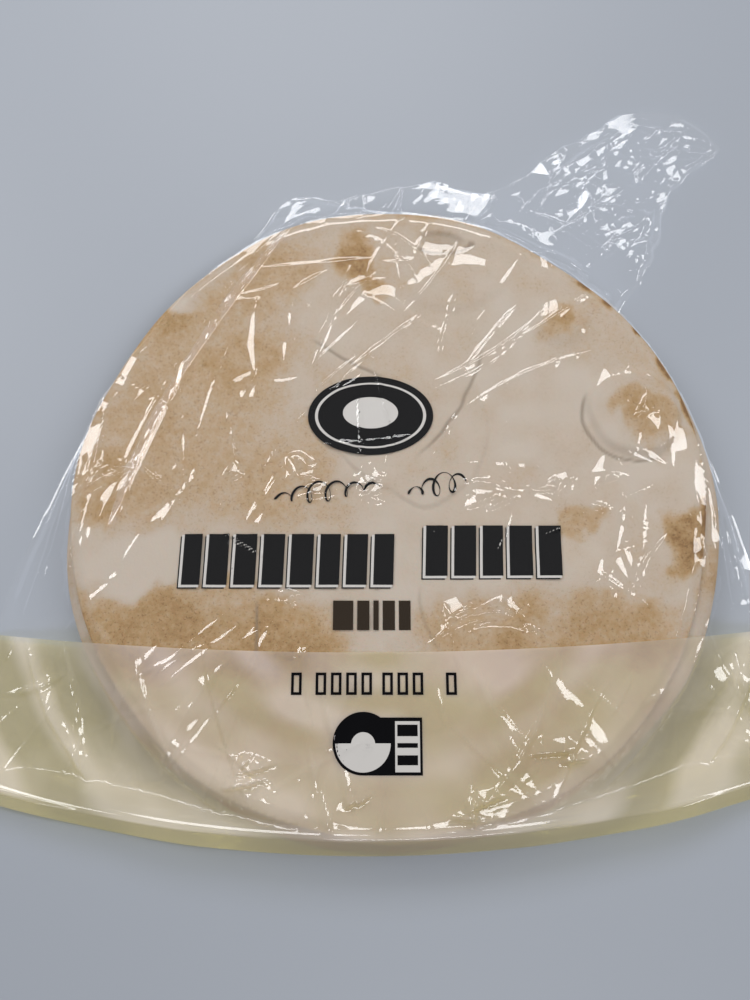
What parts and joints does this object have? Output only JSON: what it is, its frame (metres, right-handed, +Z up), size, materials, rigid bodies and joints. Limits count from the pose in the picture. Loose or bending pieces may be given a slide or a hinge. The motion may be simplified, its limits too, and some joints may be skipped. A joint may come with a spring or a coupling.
{
  "type": "bagged flatbread pack",
  "caption": "Round flatbreads stacked flat in a sealed clear film bag, with a pale printed band across the front, side wings, a crumpled back margin and a gathered mouth end.",
  "frame": {"origin": "centre of the bread stack, on the table under the bag", "axes": "+Z up from the table, -Y towards the closed front edge of the bag, +X to the right seen from the front"},
  "size_m": [0.309, 0.3211, 0.0191],
  "materials": {
    "film": "gloss",
    "band": "gloss",
    "print": "satin",
    "bread": "matte"
  },
  "bodies": {
    "root": {"bag": "film"}
  },
  "joints": []
}
